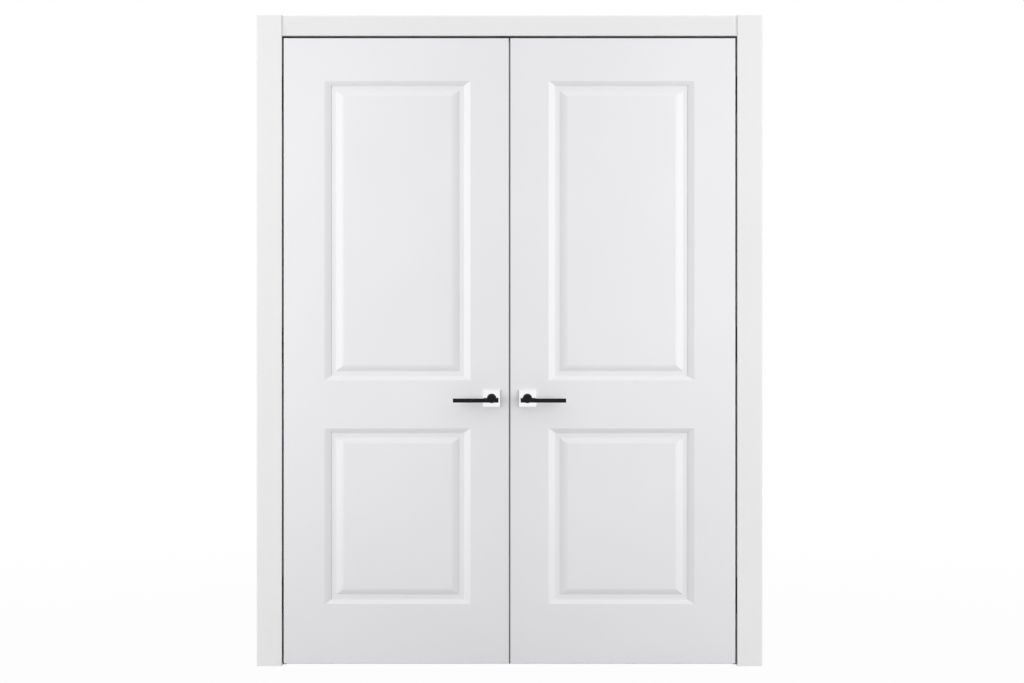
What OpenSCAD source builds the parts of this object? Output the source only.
// Double interior door with its frame: two raised-panel leaves on concealed hinges.
// Millimetres, X to the right, Y into the wall, Z up.
// The origin lies on the floor, in the middle of the doorway, in the front plane of the casings.
// Left-hand pieces are drawn where they stand, and right-hand pieces are their mirror images.

/* [Leaves] */
// Width of one leaf
leaf_w = 731.6; // [640:0.1:860]
// Height of a leaf
leaf_h = 2032; // [1900:1:2300]
// Thickness of a leaf
leaf_t = 40; // [39:0.5:44]
// Face width of the stile that carries the hinges
hinge_stile_w = 133; // [110:0.1:150]
// Face width of the stile that carries the handle
lock_stile_w = 124.6; // [124:0.1:150]
// Face height of the top rail
top_rail_h = 139.6; // [100:0.1:180]
// Face height of the rail at handle height
lock_rail_h = 155.8; // [110:0.1:200]
// Face height of the bottom rail
bottom_rail_h = 193.8; // [140:0.1:240]
// Height of the lower panel opening
lower_panel_h = 570.6; // [520:0.1:620]
// Easing of the outer leaf edges
leaf_arris = 3; // [1:0.1:3]
// Bevel of the meeting edges in degrees
meeting_bevel = 2; // [1.5:0.1:3]

/* [Panel mouldings] */
// Width of the sloped moulding along the stiles
side_slope_w = 21; // [18:0.5:28]
// Width of the sloped moulding along the rails
rail_slope_w = 13.5; // [13.5:0.5:20]
// Width of the flat beside the stiles
side_flat_w = 15; // [8:0.5:20]
// Width of the flat beside the rails
rail_flat_w = 17; // [8:0.5:20]
// Width of the panel raise beside the stiles
side_raise_w = 26; // [18:0.5:34]
// Width of the panel raise beside the rails
rail_raise_w = 19.5; // [14:0.5:30]
// Depth at the foot of the sloped moulding
slope_d = 8; // [5:0.5:9]
// Depth of the flat
flat_d = 10.5; // [9.5:0.5:12]
// Depth of the raised field
field_d = 2.5; // [1:0.5:4]
// Depth of the groove that holds a panel
groove_d = 12; // [8:0.5:13]
// Room for a panel to move in its groove
panel_float = 2; // [1:0.5:4]
// Length of a rail tenon
tenon_l = 40; // [20:1:42]
// Thickness of a rail tenon
tenon_t = 12; // [8:0.5:16]
// Shoulder above and below a rail tenon
tenon_shoulder = 26; // [20:1:34]
// Clearance of a glued joint
joint_fit = 0.1; // [0.05:0.05:0.2]

/* [Gaps] */
// Gap between leaf and jamb
side_gap = 6; // [4.4:0.05:6]
// Gap above the leaves
head_gap = 7; // [3:0.1:8]
// Gap between the leaves
meeting_gap = 3.9; // [2.6:0.1:4]
// Gap below the leaves
floor_gap = 7.4; // [4:0.1:12]
// Depth of the leaf face behind the casing face
leaf_set = 2; // [1.5:0.1:2.2]
// Gap between leaf and stop, filled by the seal
seal_gap = 4; // [3:0.5:6]

/* [Frame] */
// Thickness of a jamb
jamb_t = 34; // [33:0.5:44]
// Height of the stop above the rebate
stop_h = 12; // [10:0.5:18]
// Depth of the jamb, which is the thickness of the wall
wall_t = 110; // [90:1:160]
// Easing of the stop edges
stop_arris = 1.5; // [0.5:0.1:3]
// Radius of a wall fixing hole
fixing_r = 3; // [2.5:0.1:4]
// Distance between the outer wall fixings of a side jamb
fixing_span = 1600; // [1400:10:1750]
// Distance between the inner wall fixings of a side jamb
fixing_inner_span = 560; // [400:10:800]
// Distance between the wall fixings of the head jamb
fixing_head_span = 800; // [600:10:1100]

/* [Casings] */
// Width of a side casing
casing_w = 81.6; // [60:0.1:100]
// Height of the head casing
head_casing_h = 67; // [55:0.1:100]
// Thickness of a casing
casing_t = 8; // [6:0.5:9]
// Rounding of the outer casing edges
casing_round = 4.5; // [1:0.1:5]
// Easing of the inner casing edges
casing_arris = 1.2; // [0.6:0.1:3]
// Width of the rounding at the ends of the head casing
end_round_w = 13; // [2:0.5:14]
// Depth of the rounding at the ends of the head casing
end_round_d = 5.5; // [1:0.5:5.5]
// Distance from the rebate face to the tongue
tongue_in = 24.4; // [22:0.1:26]
// Thickness of the tongue
tongue_t = 5; // [3:0.5:6]
// Length of the tongue
tongue_l = 20; // [12:1:30]
// Clearance of a tongue in its groove
tongue_fit = 0.3; // [0.2:0.05:0.5]
// Step from the stop to the back casing
back_reveal = 6; // [3:0.5:8]

/* [Seals] */
// Width of a jamb seal
seal_w = 9; // [8:0.5:10]
// Thickness of the seal stem
seal_stem_t = 3; // [2:0.5:4]
// Length of the seal stem
seal_stem_l = 6; // [4:0.5:8]
// Clearance between a seal and what passes it
seal_fit = 0.3; // [0.2:0.05:0.5]
// Gap that the meeting seal leaves to the other leaf
meeting_seal_gap = 0.5; // [0.4:0.1:1]
// Distance from the leaf face to the middle of the meeting seal
meeting_seal_y = 5; // [4.5:0.1:6]

/* [Hinges] */
// Distance from the leaf top to the top hinge
hinge_top = 180; // [140:1:260]
// Distance from the leaf bottom to the bottom hinge
hinge_bottom = 220; // [160:1:300]
// Height of a hinge body
hinge_l = 120; // [112:1:140]
// Width of a hinge body
hinge_w = 27; // [27:0.1:27.6]
// Depth of a hinge body
hinge_d = 20; // [18:0.5:21]
// Distance from the casing face to the middle of the hinge body
hinge_y = 24.5; // [24.3:0.1:24.6]
// Wall of a hinge body
hinge_wall = 2; // [1.7:0.1:2]
// Height of the pocket in a hinge body
hinge_pocket_l = 68; // [68:1:70]
// Floor left behind the pocket of a hinge body
hinge_floor = 3; // [2:0.5:3]
// Distance of the pivots from the middle of the side gap
pivot_u = 8; // [8:0.1:8.1]
// Depth of the pivots behind the casing face
pivot_v = 16.3; // [16.3:0.05:16.4]
// Length of the first limb of a bent arm
elbow_l = 14; // [13.5:0.1:14.2]
// Direction of the first limb in degrees
elbow_a = 110; // [109:1:111]
// Half width of an arm, which is also the radius of its ends
arm_r = 3; // [2.8:0.05:3.1]
// Radius of a hinge pin
hinge_pin_r = 1.9; // [1.5:0.1:2]
// Running clearance of a hinge pin
pin_fit = 0.05; // [0.02:0.01:0.08]
// Length of a hinge pin in the body beyond the pocket
pin_seat = 6; // [4:0.5:8]
// Half height of the leaf arm
leaf_arm_h = 14; // [10:0.5:16]
// Gap between neighbouring arms
arm_gap = 0.4; // [0.3:0.1:1]
// Half height of the stacked arms
arm_stack_h = 32; // [30:0.5:33]
// Clearance of a hinge body in its mortise
mortise_fit = 0.2; // [0.1:0.05:0.3]

/* [Handles] */
// Height of the spindle above the floor
handle_z = 869.5; // [840:0.5:960]
// Distance of the spindle from the meeting edge
backset = 56; // [50:0.5:58]
// Side of the square rose
rose_w = 55; // [50:0.5:60]
// Thickness of the rose
rose_t = 9; // [6:0.5:12]
// Corner radius of the rose
rose_r = 2; // [1:0.5:6]
// Wall of the rose
rose_wall = 2.5; // [2:0.5:4]
// Chamfer around the rose face
rose_chamfer = 0.8; // [0.4:0.1:1.5]
// Gap between the neck and the leaf face
neck_root = 0.5; // [0.3:0.1:1]
// Radius of the lever neck
neck_r = 13; // [10:0.5:14]
// Clearance of the neck in the rose
neck_fit = 0.3; // [0.2:0.05:0.5]
// Height of the lever bar
bar_h = 13.2; // [10:0.1:18]
// Thickness of the lever bar
bar_t = 10; // [8:0.5:14]
// Distance of the bar below the spindle
bar_drop = 6; // [0:0.5:8]
// Length of the bar from the spindle to the free end
bar_reach = 124.6; // [100:0.1:140]
// Length of the bar behind the spindle
bar_tail = 22; // [16:0.5:28]
// Chamfer along the bar edges
bar_chamfer = 1; // [0.5:0.1:2]
// Distance from the leaf face to the front of the bar
lever_out = 53; // [46:0.5:65]
// Side of the square spindle
spindle_w = 8; // [7:0.5:9]
// Clearance of the spindle in its sockets
spindle_fit = 0.05; // [0.02:0.01:0.1]
// Depth that the spindle goes into a neck
spindle_in = 24; // [16:1:28]
// Radius of the spindle bore in the stile
spindle_bore_r = 10; // [9:0.5:11]

/* [Lock and latch] */
// Distance from the faceplate to the lock case
lock_set = 2.5; // [1.5:0.5:3]
// Depth of the lock case
lock_d = 74; // [72:0.5:76]
// Height of the lock case
lock_h = 150; // [130:1:170]
// Thickness of the lock case
lock_t = 15; // [13.5:0.5:16]
// Wall of the lock case
lock_wall = 1.5; // [1:0.1:2]
// Clearance of the lock case in its mortise
lock_fit = 0.3; // [0.2:0.05:0.5]
// Radius of the follower hub
follower_r = 9; // [8:0.5:9.5]
// Width of an edge plate
plate_w = 20; // [18:0.5:20]
// Thickness of an edge plate
plate_t = 3; // [2:0.5:4]
// Height of the lock faceplate
faceplate_h = 196; // [180:1:230]
// Height of the strike plate
strike_h = 100; // [80:1:140]
// Height of the latch above the spindle
latch_up = 32; // [28:0.5:40]
// Thickness of the latch
latch_t = 11; // [8:0.5:11]
// Height of the latch
latch_h = 16; // [12:0.5:20]
// Length of the latch
latch_l = 40; // [36:1:42]
// Travel of the latch
latch_throw = 10; // [8:0.5:11]
// Clearance around the latch
latch_fit = 0.4; // [0.3:0.05:0.6]
// Room around the latch in the strike
strike_room = 1.2; // [1:0.1:2]

/* [Flush bolts] */
// Radius of a bolt rod
bolt_r = 4; // [3.5:0.1:4.5]
// Length of a bolt rod
bolt_l = 190; // [170:1:240]
// Travel of a bolt
bolt_throw = 15; // [12:0.5:18]
// Distance of the rod from the meeting edge
bolt_in = 12; // [11:0.5:14]
// Clearance of a rod in its bore
bolt_fit = 0.3; // [0.3:0.05:0.5]
// Height of a bolt plate
bolt_plate_h = 160; // [140:1:165]
// Height of the thumb slide
slide_h = 24; // [16:1:30]
// Width of the thumb slide
slide_w = 7; // [5:0.5:8]
// Radius of the keeper hole
keeper_hole_r = 5.5; // [5.3:0.1:6.5]
// Length of the keeper plate
keeper_l = 60; // [40:1:80]
// Thickness of the keeper plate
keeper_t = 2; // [1.5:0.5:3]

/* [Hidden] */
$fn = 48;
curve_n = 6;
over = 1;
opening_w = 2 * (leaf_w + side_gap) + meeting_gap;
opening_h = floor_gap + leaf_h + head_gap;
jamb_x = opening_w / 2;
jamb_y0 = casing_t;
jamb_y1 = casing_t + wall_t;
stop_y = leaf_set + leaf_t + seal_gap;
stop_mid = (stop_y + jamb_y1) / 2;
leaf_x = -jamb_x + side_gap;
axis_x = -jamb_x + side_gap / 2;
open_x0 = hinge_stile_w;
open_x1 = leaf_w - lock_stile_w;
low_z0 = bottom_rail_h;
low_z1 = bottom_rail_h + lower_panel_h;
up_z0 = low_z1 + lock_rail_h;
up_z1 = leaf_h - top_rail_h;
lower = [low_z0, low_z1];
upper = [up_z0, up_z1];
hinge_zs = [hinge_bottom, (hinge_bottom + leaf_h - hinge_top) / 2, leaf_h - hinge_top];
seal_x = seal_w / 2 + seal_fit / 2;
back_in = stop_h - back_reveal;
spindle_x = leaf_w - backset;
spindle_z = handle_z - floor_gap;
latch_z = spindle_z + latch_up;
plate_y = leaf_t / 2;
lock_front = plate_t + lock_set;
knuckle_v = 2 * pivot_v;
elbow = [-pivot_u, pivot_v] + elbow_l * [cos(elbow_a), sin(elbow_a)];
bolt_plate_z = bolt_l - slide_h / 2;
slot_h = slide_h + bolt_throw + 2 * over;
pin_half = hinge_pocket_l / 2 + pin_seat;

white = [0.95, 0.95, 0.94];
black = [0.05, 0.05, 0.05];
rubber = [0.08, 0.08, 0.08];
chrome = [0.85, 0.85, 0.87];
steel = [0.65, 0.66, 0.68];

// Share of a moulding's depth at a share of its width: k is the slope at the start
function moulding(k, t) = k * t + (1 - k) * t * t;

// Points of an arc, from one direction to another
function arc(c, r, from, to, n = curve_n) = [for (i = [0 : n]) let (a = from + (to - from) * i / n) c + r * [cos(a), sin(a)]];

// Mirror image in the middle of the doorway
module right_hand() mirror([1, 0, 0]) children();

// Left leaf frame: x from the hinge edge, y from the front face, z from the bottom
module in_leaf() translate([leaf_x, leaf_set, floor_gap]) children();

// Frame on the bevelled meeting edge: x out of the edge, y along it from the front
module on_edge() translate([leaf_w, 0, 0]) rotate([0, 0, meeting_bevel]) children();

// A leaf face seen from its front or from its back
module on_face(back) translate([0, back ? leaf_t : 0, 0]) mirror([0, back ? 1 : 0, 0]) children();

// Outline in x and z made solid through a thickness in y
module slab(t) translate([0, t, 0]) rotate([90, 0, 0]) linear_extrude(t) children();

// Section in z and y drawn along x
module along_x(l) translate([l, 0, 0]) rotate([0, -90, 0]) linear_extrude(l) children();

// Round-ended block: width in y, length in z, depth along x from zero
module stadium(w, l, d) rotate([90, 0, 90]) linear_extrude(d) {
  square([w, l - w], center = true);
  for (s = [-1, 1]) translate([0, s * (l - w) / 2]) circle(d = w);
}

// Plain block centred in y and z, from x = 0
module block(d, w, h) translate([0, -w / 2, -h / 2]) cube([d, w, h]);

// Frame: the two side jambs run full height and the head jamb fits between them
module jamb_section() difference() {
  polygon([
    [-jamb_t, jamb_y0], [0, jamb_y0], [0, stop_y], [stop_h - stop_arris, stop_y], [stop_h, stop_y + stop_arris],
    [stop_h, jamb_y1 - stop_arris], [stop_h - stop_arris, jamb_y1], [-jamb_t, jamb_y1]
  ]);
  for (y = [jamb_y0 - over, jamb_y1 - tongue_l - tongue_fit])
    translate([-tongue_in - tongue_t - tongue_fit, y]) square([tongue_t + 2 * tongue_fit, tongue_l + tongue_fit + over]);
  translate([seal_x - seal_stem_t / 2, stop_y - over]) square([seal_stem_t, seal_stem_l + over]);
}

module side_jamb() difference() {
  translate([-jamb_x, 0, 0]) linear_extrude(opening_h + jamb_t) jamb_section();
  for (z = hinge_zs) translate([-jamb_x + over, hinge_y, z + floor_gap]) mirror([1, 0, 0])
    stadium(hinge_w + 2 * mortise_fit, hinge_l + 2 * mortise_fit, hinge_d + mortise_fit + over);
  for (span = [fixing_span, fixing_inner_span], s = [-1, 1])
    translate([-jamb_x - jamb_t - over, stop_mid, opening_h / 2 + s * span / 2]) rotate([0, 90, 0])
      cylinder(r = fixing_r, h = jamb_t + stop_h + 2 * over);
}

module left_jamb() color(white) side_jamb();
module right_jamb() color(white) right_hand() side_jamb();

module head_jamb() color(white) difference() {
  translate([0, 0, opening_h]) rotate([0, 90, 0]) translate([0, 0, -jamb_x]) linear_extrude(opening_w) jamb_section();
  for (s = [-1, 1]) translate([s * jamb_x, 0, opening_h - stop_h - over]) translate([-stop_h, stop_y, 0])
    cube([2 * stop_h, jamb_y1, jamb_t + stop_h + 2 * over]);
  in_leaf() on_edge() translate([-bolt_in, plate_y, 0]) {
    cylinder(r = keeper_hole_r + bolt_fit, h = leaf_h + head_gap + bolt_throw + 4);
    translate([-keeper_l / 2 - mortise_fit, -plate_w / 2 - mortise_fit, leaf_h])
      cube([keeper_l + 2 * mortise_fit, plate_w + 2 * mortise_fit, head_gap + keeper_t]);
  }
  for (s = [-1, 1]) translate([s * fixing_head_span / 2, stop_mid, opening_h - stop_h - over])
    cylinder(r = fixing_r, h = jamb_t + stop_h + 2 * over);
}

// Casing section: a flat, rounded outside and eased inside, with the tongue that plugs into the jamb
module casing_section(w, tongue) polygon(concat(
  arc([-w + casing_round, casing_round], casing_round, 180, 270),
  arc([-casing_arris, casing_arris], casing_arris, 270, 360),
  [[0, casing_t], [-tongue, casing_t], [-tongue, casing_t + tongue_l], [-tongue - tongue_t, casing_t + tongue_l],
   [-tongue - tongue_t, casing_t], [-w, casing_t]]
));

module side_casing(tongue, h) linear_extrude(h) casing_section(casing_w, tongue);

// The head casing butts between the side casings, with rounded ends; its tongue stops short of the side jambs
function end_rounding(half) = [for (i = [0 : curve_n]) let (a = 90 - 90 * i / curve_n) [half - end_round_w * (1 - cos(a)), end_round_d * (1 - sin(a))]];

module head_casing(half, tongue, tongue_half) difference() {
  rotate([0, 90, 0]) translate([0, 0, -half]) linear_extrude(2 * half) casing_section(head_casing_h, tongue);
  for (s = [0, 1]) mirror([s, 0, 0]) {
    translate([0, 0, -over]) linear_extrude(head_casing_h + 2 * over)
      polygon(concat([[half + over, -over], [half - end_round_w, -over]], end_rounding(half), [[half + over, end_round_d]]));
    translate([tongue_half - tongue_fit, casing_t, 0]) cube([half - tongue_half + tongue_fit + over, tongue_l + over, head_casing_h]);
  }
}

// Same casing on the far side of the wall
module behind() translate([0, jamb_y0 + jamb_y1, 0]) mirror([0, 1, 0]) children();

module front_side() translate([-jamb_x, 0, 0]) side_casing(tongue_in, opening_h + head_casing_h);
module back_side() behind() translate([-jamb_x + back_in, 0, 0]) side_casing(tongue_in + back_in, opening_h - back_in + head_casing_h);

module left_front_casing() color(white) front_side();
module right_front_casing() color(white) right_hand() front_side();
module head_front_casing() color(white) translate([0, 0, opening_h]) head_casing(jamb_x, tongue_in, jamb_x);
module left_back_casing() color(white) back_side();
module right_back_casing() color(white) right_hand() back_side();
module head_back_casing() color(white) behind() translate([0, 0, opening_h - back_in]) head_casing(jamb_x - back_in, tongue_in + back_in, jamb_x - stop_h);

// Hollow bulb seal with a stem that sits in the groove of the stop
module seal_section() translate([seal_x, stop_y]) difference() {
  union() {
    translate([-seal_w / 2, -seal_gap + seal_fit]) square([seal_w, seal_gap - seal_fit]);
    translate([-seal_stem_t / 2 + joint_fit, -joint_fit]) square([seal_stem_t - 2 * joint_fit, seal_stem_l]);
  }
  translate([-seal_w / 2 + 1, -seal_gap + seal_fit + 1]) square([seal_w - 2, seal_gap - seal_fit - 2]);
}

module side_seal() translate([-jamb_x, 0, 0]) linear_extrude(opening_h) seal_section();

module left_jamb_seal() color(rubber) side_seal();
module right_jamb_seal() color(rubber) right_hand() side_seal();
module head_jamb_seal() color(rubber) translate([0, 0, opening_h]) rotate([0, 90, 0])
  translate([0, 0, -jamb_x + stop_h]) linear_extrude(opening_w - 2 * stop_h) seal_section();

// Concealed hinge. Both arms turn by the same angle, so the leaf turns about a line in the casing plane
module hinge_places() for (z = hinge_zs) translate([axis_x, 0, z + floor_gap]) children();

// Jamb half of the hinge body; the leaf half is its mirror image in the gap
module hinge_body() difference() {
  translate([-side_gap / 2, hinge_y, 0]) mirror([1, 0, 0]) difference() {
    stadium(hinge_w, hinge_l, hinge_d);
    translate([-over, 0, 0]) block(hinge_d - hinge_floor + over, hinge_w - 2 * hinge_wall, hinge_pocket_l);
  }
  translate([-pivot_u, pivot_v, -pin_half]) cylinder(r = hinge_pin_r + pin_fit, h = 2 * pin_half);
}

module hinge_pin() translate([-pivot_u, pivot_v, -pin_half]) cylinder(r = hinge_pin_r, h = 2 * pin_half);

// Outline of the bent arm, from its pivot over the elbow to the knuckle, round at both ends
function arm_outline() = let (
  p = [-pivot_u, pivot_v], k = [0, knuckle_v], d = k - elbow, a = elbow_a, b = atan2(d[1], d[0]),
  n = [cos(a + 90) + cos(b + 90), sin(a + 90) + sin(b + 90)], inner = elbow - arm_r * n / (1 + cos(a - b)))
  concat(arc(elbow, arm_r, a + 90, b + 90), arc(k, arm_r, b + 90, b - 90, 2 * curve_n), [inner], arc(p, arm_r, a - 90, a - 270, 2 * curve_n));

module arm(h) difference() {
  linear_extrude(h) polygon(arm_outline());
  for (p = [[-pivot_u, pivot_v], [0, knuckle_v]]) translate([p[0], p[1], -over]) cylinder(r = hinge_pin_r + pin_fit, h = h + 2 * over);
}

module frame_arms() hinge_places() {
  for (s = [0, 1]) mirror([0, 0, s]) translate([0, 0, leaf_arm_h + arm_gap]) arm(arm_stack_h - leaf_arm_h - arm_gap);
  translate([0, knuckle_v, -arm_stack_h]) cylinder(r = hinge_pin_r, h = 2 * arm_stack_h);
}
module leaf_arms() hinge_places() mirror([1, 0, 0]) translate([0, 0, -leaf_arm_h]) arm(2 * leaf_arm_h);
module leaf_hinge_bodies() hinge_places() mirror([1, 0, 0]) hinge_body();
module leaf_hinge_pins() hinge_places() mirror([1, 0, 0]) hinge_pin();

module left_frame_hinge_bodies() color(steel) hinge_places() hinge_body();
module right_frame_hinge_bodies() color(steel) right_hand() hinge_places() hinge_body();
module frame_hinge_pins() color(steel) for (s = [0, 1]) mirror([s, 0, 0]) hinge_places() hinge_pin();
module left_leaf_hinge_bodies() color(steel) leaf_hinge_bodies();
module right_leaf_hinge_bodies() color(steel) right_hand() leaf_hinge_bodies();
module left_leaf_hinge_pins() color(steel) leaf_hinge_pins();
module right_leaf_hinge_pins() color(steel) right_hand() leaf_hinge_pins();
module left_frame_arms() color(steel) frame_arms();
module right_frame_arms() color(steel) right_hand() frame_arms();
module left_leaf_arms() color(steel) leaf_arms();
module right_leaf_arms() color(steel) right_hand() leaf_arms();

// Leaf: stiles and rails carry the sloped moulding, with mitred corners, and hold the panels in a groove
module leaf_envelope() {
  back = leaf_w - leaf_t * tan(meeting_bevel);
  r = leaf_arris;
  intersection() {
    linear_extrude(leaf_h) polygon(concat(arc([r, r], r, 180, 270), arc([leaf_w - r, r], r, 270, 360),
      arc([back - r, leaf_t - r], r, 0, 90), arc([r, leaf_t - r], r, 90, 180)));
    translate([-over, 0, 0]) along_x(leaf_w + 2 * over) polygon(concat(arc([r, r], r, 180, 270), arc([leaf_h - r, r], r, 270, 360),
      arc([leaf_h - r, leaf_t - r], r, 0, 90), arc([r, leaf_t - r], r, 90, 180)));
  }
}

// Half of the hollow that the sloped moulding leaves, as points from the edge inwards
function slope_points(w) = [for (i = [0 : curve_n]) [w * i / curve_n, slope_d * moulding(0.75, i / curve_n)]];
function hollow(a, b, w) = concat([[a, -over]], [for (p = slope_points(w)) [a + p[0], p[1]]],
  [[a + w + over, flat_d], [b - w - over, flat_d]],
  [for (i = [curve_n : -1 : 0]) let (p = slope_points(w)[i]) [b - p[0], p[1]]], [[b, -over]]);

module hollows(panel) for (back = [false, true]) on_face(back) intersection() {
  linear_extrude(leaf_h) polygon(hollow(open_x0, open_x1, side_slope_w));
  along_x(leaf_w) polygon(hollow(panel[0], panel[1], rail_slope_w));
}

module groove(panel) translate([open_x0 + side_slope_w - groove_d, flat_d, panel[0] + rail_slope_w - groove_d])
  cube([open_x1 - open_x0 - 2 * (side_slope_w - groove_d), leaf_t - 2 * flat_d, panel[1] - panel[0] - 2 * (rail_slope_w - groove_d)]);

module member(panels) difference() {
  intersection() {
    slab(leaf_t) children();
    leaf_envelope();
  }
  for (p = panels) {
    hollows(p);
    groove(p);
  }
}

// Edge of an outline that follows a panel opening, with its mitred lips
function lip_up(x, d, p) = [[x, p[0]], [x + d, p[0] + rail_slope_w], [x + d, p[1] - rail_slope_w], [x, p[1]]];
function lip_across(z, d) = [[open_x0, z], [open_x0 + side_slope_w, z + d], [open_x1 - side_slope_w, z + d], [open_x1, z]];

// Tenons between a rail's top and bottom, rooted in the rail, and the mortises for them
module tenons(a, b, fit) for (x = [open_x0 - tenon_l - 5 * fit, open_x1 - over])
  translate([x, (leaf_t - tenon_t) / 2 - fit, a + tenon_shoulder - fit])
    cube([tenon_l + 5 * fit + over, tenon_t + 2 * fit, b - a - 2 * tenon_shoulder + 2 * fit]);

module mortises() {
  tenons(0, low_z0, joint_fit);
  tenons(low_z1, up_z0, joint_fit);
  tenons(up_z1, leaf_h, joint_fit);
}

module hinge_stile() in_leaf() difference() {
  member([lower, upper]) polygon(concat([[0, 0], [open_x0, 0]], lip_up(open_x0, side_slope_w, lower),
    lip_up(open_x0, side_slope_w, upper), [[open_x0, leaf_h], [0, leaf_h]]));
  mortises();
  for (z = hinge_zs) translate([-over, hinge_y - leaf_set, z])
    stadium(hinge_w + 2 * mortise_fit, hinge_l + 2 * mortise_fit, hinge_d + mortise_fit + over);
}

module lock_stile() difference() {
  member([lower, upper]) polygon(concat([[leaf_w, 0], [open_x1, 0]], lip_up(open_x1, -side_slope_w, lower),
    lip_up(open_x1, -side_slope_w, upper), [[open_x1, leaf_h], [leaf_w, leaf_h]]));
  mortises();
  translate([spindle_x, -over, spindle_z]) rotate([-90, 0, 0]) cylinder(r = spindle_bore_r, h = leaf_t + 2 * over);
}

module rail(panels) in_leaf() member(panels) children();

module bottom_rail() {
  rail([lower]) polygon(concat([[open_x1, 0], [open_x0, 0]], lip_across(low_z0, rail_slope_w)));
  in_leaf() tenons(0, low_z0, 0);
}
module lock_rail() {
  rail([lower, upper]) polygon(concat(lip_across(low_z1, -rail_slope_w), [for (i = [3 : -1 : 0]) lip_across(up_z0, rail_slope_w)[i]]));
  in_leaf() tenons(low_z1, up_z0, 0);
}
module top_rail() {
  rail([upper]) polygon(concat(lip_across(up_z1, -rail_slope_w), [[open_x1, leaf_h], [open_x0, leaf_h]]));
  in_leaf() tenons(up_z1, leaf_h, 0);
}

// Raised panel: flat border, rounded raise, field; the same on both faces
function raise_points(w) = [for (i = [0 : curve_n]) [w * i / curve_n, flat_d + joint_fit - (flat_d + joint_fit - field_d) * (1 - moulding(0.7, 1 - i / curve_n))]];
function panel_face(l, flat, w) = concat([[0, flat_d + joint_fit]],
  [for (p = raise_points(w)) [flat + p[0], p[1]]],
  [for (i = [curve_n : -1 : 0]) let (p = raise_points(w)[i]) [l - flat - p[0], p[1]]], [[l, flat_d + joint_fit]]);
function panel_section(l, flat, w) = let (f = panel_face(l, flat, w))
  concat(f, [for (i = [len(f) - 1 : -1 : 0]) [f[i][0], leaf_t - f[i][1]]]);

module raised_panel(panel) {
  tongue = groove_d - panel_float;
  w = open_x1 - open_x0 - 2 * (side_slope_w - tongue);
  h = panel[1] - panel[0] - 2 * (rail_slope_w - tongue);
  in_leaf() translate([open_x0 + side_slope_w - tongue, 0, panel[0] + rail_slope_w - tongue]) intersection() {
    linear_extrude(h) polygon(panel_section(w, tongue + side_flat_w, side_raise_w));
    along_x(w) polygon(panel_section(h, tongue + rail_flat_w, rail_raise_w));
  }
}

module left_hinge_stile() color(white) hinge_stile();
module right_hinge_stile() color(white) right_hand() hinge_stile();
module left_top_rail() color(white) top_rail();
module right_top_rail() color(white) right_hand() top_rail();
module left_lock_rail() color(white) lock_rail();
module right_lock_rail() color(white) right_hand() lock_rail();
module left_bottom_rail() color(white) bottom_rail();
module right_bottom_rail() color(white) right_hand() bottom_rail();
module left_upper_panel() color(white) raised_panel(upper);
module right_upper_panel() color(white) right_hand() raised_panel(upper);
module left_lower_panel() color(white) raised_panel(lower);
module right_lower_panel() color(white) right_hand() raised_panel(lower);

// Passive leaf: strike plate and flush bolts in the meeting edge
module edge_recess(z, h) translate([-plate_t, plate_y, z]) block(plate_t + over, plate_w + 2 * mortise_fit, h + 2 * mortise_fit);
module edge_plate(z, h) translate([-plate_t, plate_y, z]) block(plate_t, plate_w, h);

// The two ends of the leaf, seen from the bolt: z runs from the end inwards
module bolt_ends() {
  translate([0, 0, leaf_h]) mirror([0, 0, 1]) children();
  children();
}
module bolt_cuts() {
  edge_recess(bolt_plate_z, bolt_plate_h);
  translate([-bolt_in, plate_y, -over]) cylinder(r = bolt_r + bolt_fit, h = bolt_l + over);
  translate([-bolt_in - bolt_r - bolt_fit, plate_y, bolt_plate_z - bolt_throw / 2])
    block(bolt_in + bolt_r, 2 * bolt_r + 2 * bolt_fit, slot_h + 2 * over);
}

module left_lock_stile() color(white) in_leaf() difference() {
  lock_stile();
  on_edge() {
    edge_recess(latch_z, strike_h);
    translate([-plate_t - latch_throw - over, plate_y, latch_z]) block(plate_t + latch_throw + 2 * over, latch_t + 2 * strike_room, latch_h + 2 * strike_room);
    bolt_ends() bolt_cuts();
  }
}

module strike_plate() color(steel) in_leaf() on_edge() difference() {
  edge_plate(latch_z, strike_h);
  translate([-plate_t - over, plate_y, latch_z]) block(plate_t + 2 * over, latch_t + 2 * strike_room, latch_h + 2 * strike_room);
}

module bolt_plate() difference() {
  edge_plate(bolt_plate_z, bolt_plate_h);
  translate([-plate_t - over, plate_y, bolt_plate_z - bolt_throw / 2]) block(plate_t + 2 * over, slide_w + 2 * bolt_fit, slot_h);
}

// Rod with its thumb slide, drawn back level with the leaf end
module flush_bolt() translate([-bolt_in, plate_y, 0]) {
  translate([0, 0, over]) cylinder(r = bolt_r, h = bolt_l - over);
  translate([0, 0, bolt_plate_z]) block(bolt_in - over, slide_w, slide_h);
}

module left_bolt_end(top) in_leaf() on_edge() translate([0, 0, top ? leaf_h : 0]) mirror([0, 0, top ? 1 : 0]) children();

module top_bolt_plate() color(steel) left_bolt_end(true) bolt_plate();
module bottom_bolt_plate() color(steel) left_bolt_end(false) bolt_plate();
module top_flush_bolt() color(steel) left_bolt_end(true) flush_bolt();
module bottom_flush_bolt() color(steel) left_bolt_end(false) flush_bolt();

module head_bolt_keeper() color(steel) in_leaf() on_edge() translate([-bolt_in, plate_y, leaf_h + head_gap]) difference() {
  translate([-keeper_l / 2, -plate_w / 2, 0]) cube([keeper_l, plate_w, keeper_t]);
  translate([0, 0, -over]) cylinder(r = keeper_hole_r, h = keeper_t + 2 * over);
}

// Active leaf: mortise lock and meeting seal
module in_lock() translate([leaf_w - lock_front, plate_y, spindle_z]) mirror([1, 0, 0]) children();

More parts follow.
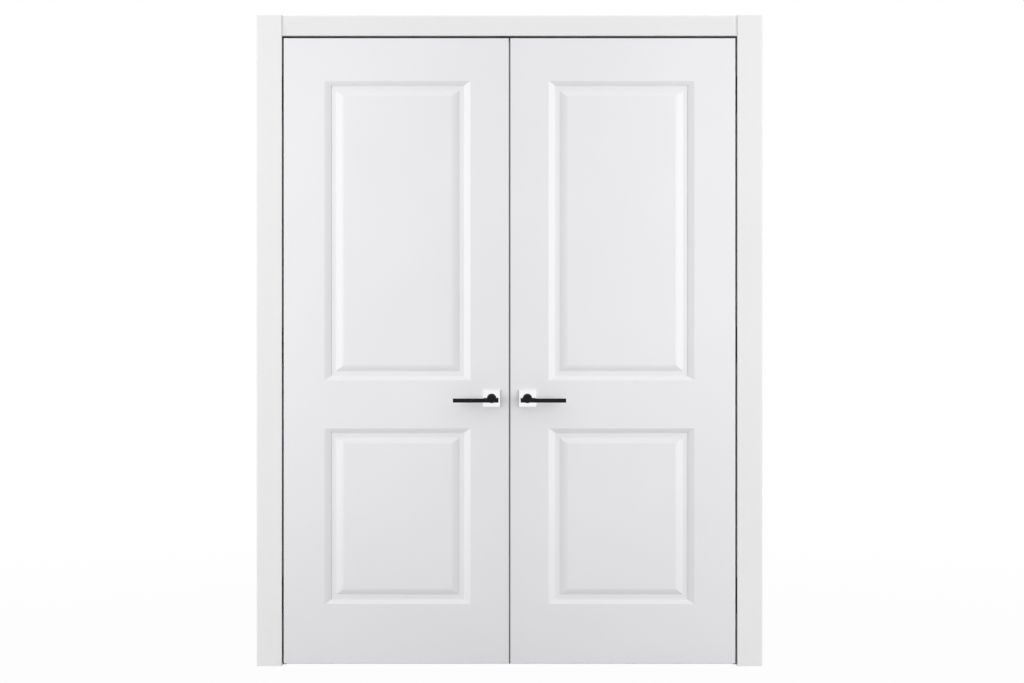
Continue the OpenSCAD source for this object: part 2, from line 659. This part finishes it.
module right_lock_stile() color(white) right_hand() in_leaf() difference() {
  lock_stile();
  on_edge() {
    edge_recess(spindle_z, faceplate_h);
    translate([-seal_stem_l, meeting_seal_y - seal_stem_t / 2, -over]) cube([seal_stem_l + over, seal_stem_t, leaf_h + 2 * over]);
  }
  in_lock() translate([-lock_front - over, 0, 0]) block(lock_d + lock_fit + lock_front + over, lock_t + 2 * lock_fit, lock_h + 2 * lock_fit);
}

// Case with a floor, a rim and a lid, open to the latch in front and bored for the follower
module lock_case() color(steel) right_hand() in_leaf() in_lock() difference() {
  block(lock_d, lock_t, lock_h);
  translate([lock_wall, 0, 0]) block(lock_d - 2 * lock_wall, lock_t - 2 * lock_wall, lock_h - 2 * lock_wall);
  translate([-over, 0, latch_up]) block(lock_wall + 2 * over, latch_t + 2 * latch_fit, latch_h + 2 * latch_fit);
  translate([backset - lock_front, -lock_t, 0]) rotate([-90, 0, 0]) cylinder(r = follower_r + pin_fit, h = 2 * lock_t);
}

module lock_faceplate() color(steel) right_hand() in_leaf() difference() {
  on_edge() edge_plate(spindle_z, faceplate_h);
  translate([leaf_w - 2 * lock_front, plate_y, latch_z]) block(3 * lock_front, latch_t + 2 * latch_fit, latch_h + 2 * latch_fit);
}

// Latch with a rounded nose, drawn back level with the faceplate
module latch_bolt() color(steel) right_hand() in_leaf() translate([leaf_w - plate_t - latch_l, plate_y, latch_z]) difference() {
  block(latch_l + plate_t / 4, latch_t, latch_h);
  for (s = [0, 1]) mirror([0, s, 0]) translate([latch_l + plate_t / 4, latch_t / 2, -latch_h]) rotate([0, 0, 45]) translate([-over, -over, 0]) cube([2 * over, 2 * over, 2 * latch_h]);
}

module lock_follower() color(steel) right_hand() in_leaf() translate([spindle_x, plate_y, spindle_z]) rotate([90, 0, 0]) difference() {
  cylinder(r = follower_r, h = lock_t, center = true);
  cube([spindle_w + 2 * spindle_fit, spindle_w + 2 * spindle_fit, 2 * lock_t], center = true);
}

// Bulb strip that closes the meeting gap, with its stem in the stile
module meeting_seal() color(rubber) right_hand() in_leaf() on_edge() linear_extrude(leaf_h) {
  out = meeting_gap - meeting_seal_gap;
  translate([-seal_stem_l + joint_fit, meeting_seal_y - seal_stem_t / 2 + joint_fit]) square([seal_stem_l, seal_stem_t - 2 * joint_fit]);
  translate([0, meeting_seal_y - seal_stem_t / 2]) square([out, seal_stem_t]);
}

// Handles: square rose, round neck, straight bar, square spindle
module on_spindle(back) in_leaf() on_face(back) translate([spindle_x, 0, spindle_z]) children();

module square_rose(w, r) polygon(concat(arc([w / 2 - r, w / 2 - r], r, 0, 90), arc([r - w / 2, w / 2 - r], r, 90, 180),
  arc([r - w / 2, r - w / 2], r, 180, 270), arc([w / 2 - r, r - w / 2], r, 270, 360)));

// Rose as a cover with a hollow back and a boss around the neck
module rose() difference() {
  rotate([90, 0, 0]) difference() {
    union() {
      linear_extrude(rose_t - rose_chamfer) square_rose(rose_w, rose_r);
      translate([0, 0, rose_t - rose_chamfer - 0.01]) linear_extrude(rose_chamfer + 0.01, scale = 1 - 2 * rose_chamfer / rose_w) square_rose(rose_w, rose_r);
    }
    translate([0, 0, -over]) linear_extrude(rose_t - rose_wall + over) difference() {
      square_rose(rose_w - 2 * rose_wall, rose_r / 2);
      circle(r = neck_r + neck_fit + rose_wall);
    }
    translate([0, 0, -over]) cylinder(r = neck_r + neck_fit, h = rose_t + 2 * over);
  }
}

// Lever in one piece: neck with a square socket, and a bar with chamfered edges
module lever() difference() {
  union() {
    translate([0, -neck_root, 0]) rotate([90, 0, 0]) cylinder(r = neck_r, h = lever_out - bar_t / 2 - neck_root);
    translate([-bar_reach, -lever_out, -bar_drop]) along_x(bar_reach + bar_tail) polygon([
      [-bar_h / 2, bar_chamfer], [-bar_h / 2 + bar_chamfer, 0], [bar_h / 2 - bar_chamfer, 0], [bar_h / 2, bar_chamfer],
      [bar_h / 2, bar_t - bar_chamfer], [bar_h / 2 - bar_chamfer, bar_t], [-bar_h / 2 + bar_chamfer, bar_t], [-bar_h / 2, bar_t - bar_chamfer]]);
  }
  translate([-spindle_w / 2 - spindle_fit, -spindle_in - over, -spindle_w / 2 - spindle_fit])
    cube([spindle_w + 2 * spindle_fit, spindle_in + 2 * over, spindle_w + 2 * spindle_fit]);
}

module spindle() in_leaf() translate([spindle_x - spindle_w / 2, -spindle_in, spindle_z - spindle_w / 2])
  cube([spindle_w, leaf_t + 2 * spindle_in, spindle_w]);

module left_front_rose() color(chrome) on_spindle(false) rose();
module left_back_rose() color(chrome) on_spindle(true) rose();
module right_front_rose() color(chrome) right_hand() on_spindle(false) rose();
module right_back_rose() color(chrome) right_hand() on_spindle(true) rose();
module left_front_lever() color(black) on_spindle(false) lever();
module left_back_lever() color(black) on_spindle(true) lever();
module right_front_lever() color(black) right_hand() on_spindle(false) lever();
module right_back_lever() color(black) right_hand() on_spindle(true) lever();
module left_spindle() color(steel) spindle();
module right_spindle() color(steel) right_hand() spindle();

left_jamb();
right_jamb();
head_jamb();
left_front_casing();
right_front_casing();
head_front_casing();
left_back_casing();
right_back_casing();
head_back_casing();
left_jamb_seal();
right_jamb_seal();
head_jamb_seal();
left_frame_hinge_bodies();
right_frame_hinge_bodies();
frame_hinge_pins();
head_bolt_keeper();
left_hinge_stile();
left_lock_stile();
left_top_rail();
left_lock_rail();
left_bottom_rail();
left_upper_panel();
left_lower_panel();
left_leaf_hinge_bodies();
left_leaf_hinge_pins();
strike_plate();
left_front_rose();
left_back_rose();
top_bolt_plate();
bottom_bolt_plate();
right_hinge_stile();
right_lock_stile();
right_top_rail();
right_lock_rail();
right_bottom_rail();
right_upper_panel();
right_lower_panel();
right_leaf_hinge_bodies();
right_leaf_hinge_pins();
lock_case();
lock_faceplate();
right_front_rose();
right_back_rose();
meeting_seal();
left_frame_arms();
right_frame_arms();
left_leaf_arms();
right_leaf_arms();
left_front_lever();
left_back_lever();
left_spindle();
right_front_lever();
right_back_lever();
right_spindle();
lock_follower();
latch_bolt();
top_flush_bolt();
bottom_flush_bolt();
